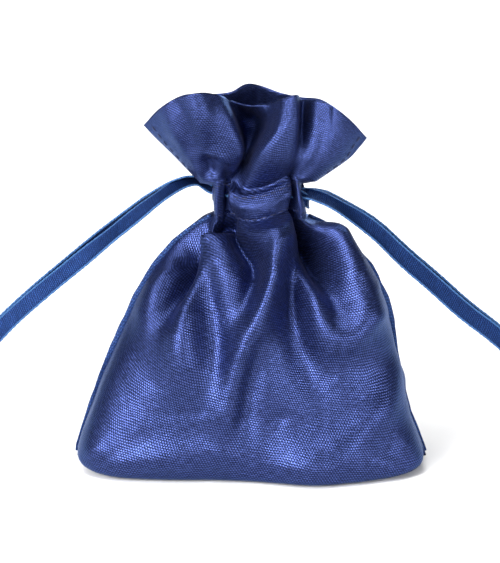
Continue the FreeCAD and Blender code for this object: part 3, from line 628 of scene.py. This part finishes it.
# Ridges (+) and valleys (-) of the front, seen from the front: place across, height, how far the
# cloth stands out there, and half the fold's width.
FRONT_FOLDS = [
    # middle pleat, which leaves the neck, swings right and then runs down to the left
    [(3, 73, 3.2, 4.6), (6.4, 65.6, 5.4, 4.2), (5.8, 57.2, 5, 3.7), (2.6, 48.9, 3.5, 4),
     (-0.9, 41.2, 2.5, 4.8), (-4.2, 31.5, 2.2, 5.6), (-6.2, 21, 1.9, 6.2), (-7, 12, 0.9, 7)],
    # deep hollow on its right
    [(11.2, 70.5, -5.4, 2.8), (14.8, 66, -7, 4.2), (18.8, 60, -5.2, 4.2), (22.6, 53, -2.2, 4.2),
     (25.2, 46, -0.4, 4)],
    # ridge from the right shoulder, which hooks back to the left at its foot
    [(19, 71, 2.2, 2.6), (23, 66, 3.2, 3.4), (26.2, 58.3, 3.4, 4.4), (28.8, 52, 2.8, 5.4),
     (29.6, 46.4, 2.4, 5), (26.8, 41.6, 1.9, 4.6), (22, 40.2, 1.3, 4.4), (17.6, 42.6, 0.5, 4.2)],
    [(33, 45, 0.9, 5), (33.4, 38, 0.8, 5.6), (33, 31, 0.2, 6)],
    # smaller ridge between them
    [(10.6, 64.4, 0.6, 2.6), (13.8, 58.5, 1.9, 3.6), (17, 51.8, 2.3, 4.4), (19.6, 45.3, 1.8, 5.4),
     (23.6, 40, 0.6, 7)],
    # valley between the middle pleat and the smaller ridge
    [(10.6, 64, -0.6, 2.4), (10.9, 60, -2, 2.9), (11.4, 54, -2.7, 3.6), (12.8, 44, -2.3, 4.4),
     (15.4, 34, -1.8, 5.4), (18.5, 26, -0.9, 7), (20, 18, -0.2, 8)],
    # crease between the scooped pleat and the middle one
    [(-4.6, 70.2, -2.8, 1.9), (-2.4, 66.6, -4, 2.3), (0.6, 61.6, -3.4, 2.5), (0.8, 56.5, -2, 2.9),
     (-1.2, 50.5, -0.8, 3.6), (-4, 43, -0.1, 4)],
    # valley on the left of the scooped pleat
    [(-16.4, 69.4, -3.6, 2.6), (-17.8, 64.6, -5.6, 3.2), (-20, 57.5, -4.8, 3.2), (-22.6, 49.9, -2.2, 3.2),
     (-24, 44, -0.4, 3.4)],
    # ridge that starts in that valley
    [(-14.2, 58.6, 0.5, 2.8), (-15.8, 54.4, 1.5, 3.6), (-17.4, 48.6, 2.6, 4.8), (-18.2, 41.6, 3, 6),
     (-18, 34, 2.4, 6.6), (-17.4, 27, 1.2, 7.4), (-17, 21, 0.2, 8)],
    # outer ridge on the left
    [(-23.6, 60, 0.8, 2.4), (-26.2, 53.5, 1.1, 3.6), (-28, 46, 0.9, 4.8), (-28, 38, 0.6, 5.6),
     (-26, 29, 0.3, 6.6)],
    # pulls at the corners and along the bottom
    [(-46, 3, -0.5, 2), (-39, 8, -0.7, 2.6), (-30, 11, -0.2, 3.6)],
    [(-12, 1, -0.5, 2.4), (-13, 7, -0.4, 3), (-15, 13, -0.1, 4)],
    [(26, 1, -0.5, 2.6), (21, 8, -0.4, 3.4), (16, 14, -0.1, 4.4)],
    [(46, 3, -0.6, 2), (39, 9, -0.8, 2.8), (31, 15, -0.2, 4)],
    # valley under the scooped pleat's left side
    [(-12.4, 57.6, -0.7, 2.8), (-12, 50, -1.1, 3.8), (-11.2, 42, -1.3, 4.6), (-10.8, 34, -1.2, 5.2),
     (-10.6, 27, -0.6, 6), (-10.6, 20, -0.2, 6.6)],
    # fine tuck beside the left seam
    [(-12.6, 73, -0.7, 1.2), (-19.6, 66.2, -1, 1.4), (-26.8, 57, -0.6, 1.5), (-29, 53, -0.1, 1.5)],
    # crease beside the long ridge, and the dimple beside it
    [(1.6, 40, -0.6, 2.2), (0.2, 34, -1.3, 2.8), (-1, 27, -1.6, 3), (-2.2, 19, -1.4, 3.2),
     (-3.2, 12, -0.6, 3.6)],
    [(8, 19.4, -0.45, 1.6), (6.4, 17, -0.25, 1.6)],
    # soft swell over the filling, low on the right and on the left
    [(40, 29, 0.4, 4), (36, 20, 1.2, 5), (27, 12, 1.1, 5), (14, 8, 0.4, 5)],
    [(-43, 7.5, 0.9, 4.4), (-27, 7.5, 1.3, 4.4), (-9, 8.5, 0.9, 4.6)],
]
# The folds stand out more where the cloth is slack, below the neck.
FOLD_AT = (10, 22, 38, 50, 62, 73)
FRONT_GAIN = (1.5, 2.2, 2.5, 2.3, 1.9, 1.4)
BACK_GAIN = (1.6, 2, 1.9, 1.4, 0.8, 0.5)
# The scooped pleat: its lip hangs under the channel on the left of the middle pleat.
SCOOP_LIP = [(-17.5, 71), (-15.4, 69.2), (-12.6, 67.6), (-8, 67.9), (-4, 69.4), (-1.5, 70.4)]
SCOOP = [(-9.8, 68, 6.4, 5.4), (-8, 61.8, 5.6, 5.6), (-6.4, 56.3, 4.4, 5.4), (-5.2, 49.6, 2.8, 5.6),
         (-5, 42.7, 1.2, 6), (-5.5, 36, 0.2, 6)]
SCOOP_HOLLOW = [(-13.4, 70.2, -3.6, 1.8), (-9.4, 69.9, -4.6, 2), (-5.2, 70.8, -3.2, 1.6)]
BACK_FOLDS = [
    [(1, 73, 2, 3.6), (3, 65, 3.6, 4.4), (6, 54, 2.8, 5.4), (10, 42, 1.6, 7), (13, 30, 0.4, 8)],
    [(-4.9, 71.5, -3, 2.4), (-7, 65, -4.2, 3.4), (-9.5, 54, -2.8, 4.6), (-12, 42, -1.2, 6),
     (-13, 34, -0.2, 6)],
    [(-9, 72, 1.8, 2.2), (-14, 65, 3.2, 3.6), (-19, 54, 2.8, 5), (-22.5, 42, 1.8, 6.5), (-24, 30, 0.3, 8)],
    [(7, 71.5, -3, 2.4), (11.5, 65, -4.4, 3.4), (17, 56, -3.4, 4.2), (21.5, 46, -1.6, 5.4),
     (24.5, 36, -0.3, 6)],
    [(10.4, 72, 1.6, 2.2), (19, 65, 3, 3.6), (26, 55, 2.8, 4.8), (30, 43, 1.8, 6), (30.5, 31, 0.4, 8)],
    [(-1.5, 60, -0.6, 2.4), (-2.5, 50, -1.6, 4), (-2, 38, -1, 6), (0, 26, -0.2, 7)],
    [(-38, 18, 1, 5), (-20, 12, 1.2, 6), (4, 14, 0.8, 6)],
    [(40, 22, 1, 5), (24, 13, 1.1, 6)],
]


def hermite(at, values, where):
    """Smooth curve that passes through values[k] at at[k], taken at where."""
    at = np.asarray(at, float)
    values = np.asarray(values, float)
    where = np.clip(np.asarray(where, float), at[0], at[-1])
    slope = np.zeros_like(values)
    wide = np.diff(at)
    extra = (1,) * (values.ndim - 1)
    rise = np.diff(values, axis=0) / wide.reshape((-1,) + extra)
    slope[0], slope[-1] = rise[0], rise[-1]
    for k in range(1, len(at) - 1):
        slope[k] = (rise[k - 1] * wide[k] + rise[k] * wide[k - 1]) / (wide[k] + wide[k - 1])
    k = np.clip(np.searchsorted(at, where, side="right") - 1, 0, len(at) - 2)
    w = wide[k].reshape(where.shape + extra)
    t = ((where - at[k]) / wide[k]).reshape(where.shape + extra)
    return ((2 * t ** 3 - 3 * t ** 2 + 1) * values[k] + (t ** 3 - 2 * t ** 2 + t) * w * slope[k]
            + (3 * t ** 2 - 2 * t ** 3) * values[k + 1] + (t ** 3 - t ** 2) * w * slope[k + 1])


def along(table, share):
    """Point of a profile at a share of its length."""
    far = lengths(table)
    return hermite(far, table, share * far[-1])


def half_ring(wide, deep, power, u):
    """Half of a superellipse from left to right, at shares u of its length."""
    t = np.linspace(0, math.pi, 600)
    c, s = np.cos(t), np.sin(t)
    x = -wide * np.sign(c) * np.abs(c) ** (2 / power)
    y = deep * np.abs(s) ** (2 / power)
    far = np.concatenate([[0], np.cumsum(np.hypot(np.diff(x), np.diff(y)))])
    return np.interp(u * far[-1], far, x), np.interp(u * far[-1], far, y)


def fold_field(x, z, folds):
    """How far the cloth stands out at (x, z): the sum of the folds, each smooth across its line."""
    total = np.zeros_like(x)
    for fold in folds:
        line = np.array(fold, float)
        best = np.full(x.shape, 1e9)
        high = np.zeros_like(x)
        for a, b in zip(line[:-1], line[1:]):
            d = b[:2] - a[:2]
            t = np.clip(((x - a[0]) * d[0] + (z - a[1]) * d[1]) / (d @ d), 0, 1)
            w = a[3] + t * (b[3] - a[3])
            off = np.hypot(x - (a[0] + t * d[0]), z - (a[1] + t * d[1])) / w
            nearer = off < best
            best = np.where(nearer, off, best)
            high = np.where(nearer, a[2] + t * (b[2] - a[2]), high)
        total += high * np.exp(-best ** 2)
    return total


def normals_of(grid, outward_y):
    """Normals of a grid of points, on the side that faces outward_y."""
    n = unit(np.cross(np.gradient(grid, axis=1), np.gradient(grid, axis=0)), 1e-9)
    return n if n[..., 1].mean() * outward_y > 0 else -n


def body_rows_of(front, u, gather):
    """The body of one panel: lofted rings, pushed in and out by its folds."""
    sign = -1.0 if front else 1.0
    s = 2 * u - 1
    outline = [np.array(side).T for side in (SIDE_LEFT, SIDE_RIGHT)]
    body_v = np.linspace(0, BODY, int(round(BODY / ROW_HIGH)) + 1)
    rows, folded = [], []
    for v in body_v:
        profiles = [along(table, v / BODY) for table in (CENTRE, SIDE_LEFT, SIDE_RIGHT)]
        (deep, mid_z), (left_x, left_z), (right_x, right_z) = profiles
        # the rings are squarer near the base
        power = 4.6 - 2.2 * float(step(18, 62, v))
        half = 0.5 * (right_x - left_x)
        x, y = half_ring(half, deep, power, u)
        edge = np.abs(s) ** (7.0 - 4.4 * float(step(14, 60, v)))
        side_z = np.where(s < 0, left_z, right_z)
        z = mid_z * (1 - edge) + side_z * edge
        low_x, high_x = (np.interp(z, high, out) for out, high in outline)
        x = 0.5 * (low_x + high_x) + 0.5 * (high_x - low_x) * x / half
        rows.append(np.stack([x, sign * y, z], 1))
        folded.append(gather * float(step(BODY - 19.0, BODY, v)) ** 1.25)
    plain = np.array(rows)
    n = normals_of(plain, sign)
    x, z = plain[..., 0], plain[..., 2]
    push = fold_field(x, z, FRONT_FOLDS if front else BACK_FOLDS)
    push = push * np.interp(z, FOLD_AT, FRONT_GAIN if front else BACK_GAIN)
    if front:
        lip = np.interp(x, *np.array(SCOOP_LIP).T)
        under = step(-0.5, 1.1, lip - z)
        push = push + fold_field(x, z, [SCOOP]) * under + fold_field(x, z, [SCOOP_HOLLOW]) * (1 - under)
        toe = TOE_SWELL * np.exp(-((x - TOE_AT) / TOE_WIDE) ** 2) * (1 - step(3.0, 20.0, z))
        plain[..., 1] *= 1 + toe
    # no push at the side seams or near the folded base, and little at the gathers
    calm = step(0.0, 0.16, 1 - np.abs(s))[None, :]
    low = step(19.0, 27.0, body_v)[:, None]
    top = 1 - 0.75 * step(BODY - 4.0, BODY, body_v)[:, None]
    for height, size, seed in BODY_WRINKLES:
        push = push + height * noise3(plain, size, seed)
    return plain + n * (push * calm * low * top)[..., None] + np.array(folded), body_v


def channel_rows_of(sign, u, knots, neck):
    """The drawstring channel of one panel, slit at its ends where the ribbons leave."""
    s = np.abs(2 * u - 1)
    channel_v = np.linspace(0, CHANNEL, int(round(CHANNEL / (ROW_HIGH * 0.7))) + 1)[1:]
    rows = []
    for v in channel_v:
        row = hermite(knots, hermite(NECK_AT, neck, v / CHANNEL), u)
        arch = np.sqrt(np.clip(1 - ((row[:, 2] - SLIT_MID) / SLIT_HALF) ** 2, 0, 1))
        slit = SLIT_OPEN * arch * step(0.92, 1.0, s)
        row[:, 1] = np.where(np.abs(row[:, 1]) < slit, sign * slit, row[:, 1])
        rows.append(row)
    channel = np.array(rows)
    high = channel_v[:, None, None]
    rows_in = step(0.0, 2.0, high) * step(0.0, 2.0, CHANNEL - high)
    crease = 0.30 * noise3(channel * np.array([1, 1, 0.45]), 3.4, 51)
    crease = (crease * step(0.0, 0.10, 1 - s))[..., None]
    return channel + normals_of(channel, sign) * crease * rows_in, channel_v


def header_rows_of(front, u, knots, header):
    """The ruffle above the channel of one panel."""
    header_v = np.linspace(0, HEADER, int(round(HEADER / ROW_HIGH)) + 1)
    head = np.array([hermite(knots, hermite(HEADER_AT, header, v / HEADER), u) for v in header_v])
    n = normals_of(head, -1.0 if front else 1.0)
    calm = step(0.0, 0.06, 1 - np.abs(2 * u - 1))[None, :, None]
    high = (header_v / HEADER)[:, None, None]
    small = 0.0
    for height, size, seed in HEADER_WRINKLES:
        small = small + height * noise3(head, size, seed)
    head = head + n * small[..., None] * calm * step(0.0, 0.3, high)
    if front:
        folds = fold_field(head[..., 0], head[..., 2], HEADER_FOLDS)[..., None]
        head = head + n * folds * calm * step(0.0, 0.08, high)
    return head, header_v


def panel_grid(front):
    """Points of one panel from the base fold to the rim, each row's place up the cloth, and the
    rows where the channel starts and ends."""
    sign = -1.0 if front else 1.0
    neck = np.array(NECK_FRONT if front else NECK_BACK)
    header = np.array(HEADER_FRONT if front else HEADER_BACK)
    u = np.linspace(0, 1, ACROSS + 1)
    # knots' places across: half way between their places round the neck and along the rim
    round_neck, round_rim = lengths(neck[0]), lengths(header[-1])
    knots = 0.5 * (round_neck / round_neck[-1] + round_rim / round_rim[-1])
    neck_x, neck_y = half_ring(NECK_WIDE, NECK_DEEP, NECK_POWER, u)
    plain_neck = np.stack([neck_x + NECK_RIGHT, sign * neck_y, np.full(ACROSS + 1, NECK_LOW)], 1)
    gather = hermite(knots, neck[0], u) - plain_neck
    body, body_v = body_rows_of(front, u, gather)
    channel, channel_v = channel_rows_of(sign, u, knots, neck)
    head, header_v = header_rows_of(front, u, knots, header)
    grid = np.concatenate([body, channel, head])
    cloth_v = np.concatenate([body_v, BODY + channel_v, BODY + CHANNEL + 0.6 + header_v])
    return grid, cloth_v, len(body_v), len(body_v) + len(channel_v)


front, cloth_v, body_rows, neck_rows = panel_grid(True)
back = panel_grid(False)[0]
for sheet in (front, back):
    sheet[..., 2] = np.maximum(sheet[..., 2], RESTS_AT)
back[0] = front[0]
# the panels share the fold at the base and the side seams, except at the channel's slits
shared = np.zeros(front.shape[:2], bool)
shared[0] = True
shared[:, [0, -1]] = True
shared[body_rows:neck_rows, [0, -1]] = False
index_front = np.arange(shared.size).reshape(shared.shape)
index_back = index_front.copy()
index_back[~shared] = shared.size + np.arange((~shared).sum())
verts = np.concatenate([front.reshape(-1, 3), back[~shared]])
uv = np.stack(np.meshgrid(np.arange(ACROSS + 1) / ACROSS * CUT_WIDE, cloth_v), -1)
uvs = np.concatenate([uv.reshape(-1, 2), (uv * np.array([1.0, -1.0]))[~shared]])
faces = np.stack([sheet_faces(index_front), sheet_faces(index_back)[:, [0, 3, 2, 1]]], 1).reshape(-1, 4)
pouch = mesh_object("pouch_satin", verts, faces, SATIN, uvs=uvs)
thicken(pouch, CLOTH_PLY, -1.0)
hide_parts("base_fold", "body_front", "body_back", "channel_front", "channel_back", "ruffle_front",
            "ruffle_back")
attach(pouch, "pouch")

# ---------------- seam allowances
# Section of a seam's pressed edges: share of the way out, and place across the two plies.
LIP_PLY = [(-0.30, 0.20), (0.0, 0.36), (0.45, 0.40), (0.8, 0.42), (0.97, 0.36), (1.0, 0.12)]
LIP_RING = LIP_PLY + [(0.93, 0.03)] + [(a, -b) for a, b in reversed(LIP_PLY)]
# Sides of that section that are the back ply's raw edge.
LIP_RAW = (3, 4, 5)
LIP_UV = 40


def lip_mesh(name, line, outward, seed, base, grow, shrink):
    """The two raw edges of a side seam, pressed together, which stand out from the seam line."""
    at = lengths(line)
    tangent = unit(np.gradient(line, axis=0))
    out = np.stack([tangent[:, 2], np.zeros(len(line)), -tangent[:, 0]], 1) * outward
    along_seam = np.stack([at, at * 0, at * 0], 1)
    wave = noise3(along_seam, 6.0, seed) + 0.5 * noise3(along_seam, 2.3, seed + 1)
    high = line[:, 2]
    wide = base + grow[0] * step(*grow[1:], high) - shrink[0] * step(*shrink[1:], high)
    wide = wide * (1 + 0.22 * wave)
    verts, uvs = [], []
    for i, p in enumerate(line):
        lean = 0.35 * wave[i]
        for a, b in LIP_RING:
            verts.append(p + out[i] * a * wide[i] + np.array([0.0, b + lean * max(a, 0.0) ** 2, 0.0]))
            uvs.append((a * wide[i] + LIP_UV, at[i]))
    sides = len(LIP_RING)
    obj = mesh_object(name, verts, tube_faces(len(line), sides, flip=outward < 0), SEAM, uvs=uvs)
    raw = [k in LIP_RAW for k in range(sides)]
    second_material(obj, SELVEDGE, raw * (len(line) - 1) + [False, False])
    return obj


# Each seam: side, column of the grid, way out, seed, and its width at the base with its two changes
# on the way up, as (change, from height, to height).
SEAMS = (("left", 0, -1, 31, 0.55, (0.75, 6, 30), (0.5, 58, 72)),
         ("right", -1, 1, 37, 0.5, (1.2, 30, 44), (0.9, 62, 72)))
for side, column, outward, seed, *width in SEAMS:
    seam = front[2:body_rows - 1, column].copy()
    seam[:, 1] = 0.0
    lip = lip_mesh(side + "_seam_edge", seam, outward, seed, *width)
    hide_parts("side_seam_" + side)
    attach(lip, "pouch")

# ---------------- turned-in hem of the channel
HEM_LEVELS = (0.0, 0.16, 0.34, 0.5, 0.66, 0.84, 1.0)
HEM_ROWS = 21
HEM_LEFT, HEM_RIGHT = -9.6, 12.8
HEM_DEEP = 0.95
HEM_PLY = 0.20
HEM_UV = 200
# The hem starts and ends just inside the outer cloth.
HEM_INSET = np.array([0.9, 0.82, 1.0])

for word, sheet, sign in (("front", front, -1.0), ("back", back, 1.0)):
    low_row, high_row = sheet[body_rows + 1], sheet[neck_rows - 2]
    across = np.linspace(HEM_LEFT, HEM_RIGHT, ACROSS + 1)
    ripple = 0.12 * np.sin(across * 1.7 + sign)
    levels = [low_row * HEM_INSET]
    for share in HEM_LEVELS[1:-1]:
        z = low_row[:, 2] * (1 - share) + high_row[:, 2] * share
        levels.append(np.stack([across, sign * (HEM_DEEP + ripple), z], 1))
    levels.append(high_row * HEM_INSET)
    rows = hermite(HEM_LEVELS, np.array(levels), np.linspace(0, 1, HEM_ROWS))
    hem_faces = sheet_faces(np.arange(HEM_ROWS * (ACROSS + 1)).reshape(HEM_ROWS, ACROSS + 1))
    hem_uvs = [(c / ACROSS * CUT_WIDE, HEM_UV + r * 0.5)
               for r in range(HEM_ROWS) for c in range(ACROSS + 1)]
    hem = mesh_object("channel_hem_" + word, rows.reshape(-1, 3),
                      hem_faces if sign < 0 else hem_faces[:, ::-1], SATIN, uvs=hem_uvs)
    thicken(hem, HEM_PLY, 0.0)
    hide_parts("channel_lining_" + word)
    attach(hem, "pouch")

# ---------------- stitching
STITCH_GAP = 0.8
# How far a row of stitches stays from the start and the end of its line.
STITCH_START, STITCH_STOP = 0.6, 0.4
STITCH_THICK = 0.12
# How far the ends of a stitch sink into the cloth.
STITCH_SINK = 0.06
STITCH_SIDES = 6
STITCH_SHARES = np.linspace(0, 1, 7)


def stitch_mesh(name, lines, long=2.0):
    """Rows of stitches that lie on the cloth. Each line is (points, outward normals)."""
    verts, uvs, faces = [], [], []
    for points, normals in lines:
        at = lengths(points)
        place = STITCH_START
        while place + long < at[-1] - STITCH_STOP:
            where = place + long * STITCH_SHARES
            p = np.stack([np.interp(where, at, points[:, k]) for k in range(3)], 1)
            n = unit(np.stack([np.interp(where, at, normals[:, k]) for k in range(3)], 1))
            side = np.cross(unit(np.gradient(p, axis=0)), n)
            faces += tube_faces(len(STITCH_SHARES), STITCH_SIDES, first=len(verts))
            for i, share in enumerate(STITCH_SHARES):
                round_off = math.sqrt(max(0.0, 1 - (2 * share - 1) ** 4))
                r = STITCH_THICK * (0.35 + 0.65 * round_off)
                lift = (STITCH_THICK + STITCH_SINK) * round_off - STITCH_SINK
                for k in range(STITCH_SIDES):
                    a = TURN * k / STITCH_SIDES
                    verts.append(p[i] + n[i] * (lift + r * math.sin(a)) + side[i] * r * math.cos(a))
                    uvs.append((k / STITCH_SIDES, where[i] * 0.2))
            place += long + STITCH_GAP
    obj = mesh_object(name, verts, faces, THREAD, uvs=uvs)
    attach(obj, "pouch")
    return obj


sheets = ((front, normals_of(front, -1.0)), (back, normals_of(back, 1.0)))
inner_columns = slice(3, -3)
for name, row, node in (("channel_stitching_lower", body_rows + 1, "lower_stitching"),
                        ("channel_stitching_upper", neck_rows - 3, "upper_stitching")):
    stitching = stitch_mesh(name, [(g[row, inner_columns], n[row, inner_columns]) for g, n in sheets])
    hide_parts(node)
# the header's side hems, from just above the channel to the rim
header_start = neck_rows + 3
hem_lines = [(g[header_start:, c], n[header_start:, c]) for g, n in sheets for c in (4, ACROSS - 4)]
stitch_mesh("header_stitching", hem_lines, long=1.8)

# ---------------- floor, light, world
FLOOR_HALF = 8000
WORLD_STRENGTH = 0.10
SUN_STRENGTH = 3.3
SUN_SOFTNESS = math.radians(40)
SUN_TURN = (math.radians(16), math.radians(-14), 0.0)
LIT_POINT = Vector((0, 0, 0.05))
# Soft boxes: name, place in metres, width in metres, watts.
SOFT_BOXES = (("key", (-0.50, -0.71, 0.34), 0.50, 17.0), ("fill", (0.60, -0.60, 0.20), 0.36, 5.2),
              ("rim", (0.30, 0.85, 0.42), 0.45, 4.5))

paper = Shader("floor_paper")
paper.set("Base Color", (0.86, 0.86, 0.86, 1.0))
paper.set("Roughness", 0.9)
floor_corners = [(x * FLOOR_HALF, y * FLOOR_HALF, 0) for x, y in ((-1, -1), (1, -1), (1, 1), (-1, 1))]
floor = mesh_object("floor", floor_corners, [(0, 1, 2, 3)], paper.material, smooth=False)

world = bpy.data.worlds.new("world")
scene.world = world
world.use_nodes = True
background = world.node_tree.nodes["Background"]
background.inputs["Color"].default_value = (1.0, 1.0, 1.0, 1.0)
background.inputs["Strength"].default_value = WORLD_STRENGTH

sun = bpy.data.lights.new("daylight", "SUN")
sun.energy = SUN_STRENGTH
sun.angle = SUN_SOFTNESS
add_object("daylight", sun).rotation_euler = SUN_TURN

for name, spot, width, watts in SOFT_BOXES:
    light = bpy.data.lights.new(name, "AREA")
    light.size = width
    light.energy = watts
    lamp = add_object(name, light)
    lamp.location = spot
    lamp.rotation_euler = (LIT_POINT - Vector(spot)).to_track_quat("-Z", "Y").to_euler()
scene.view_settings.view_transform = "Standard"
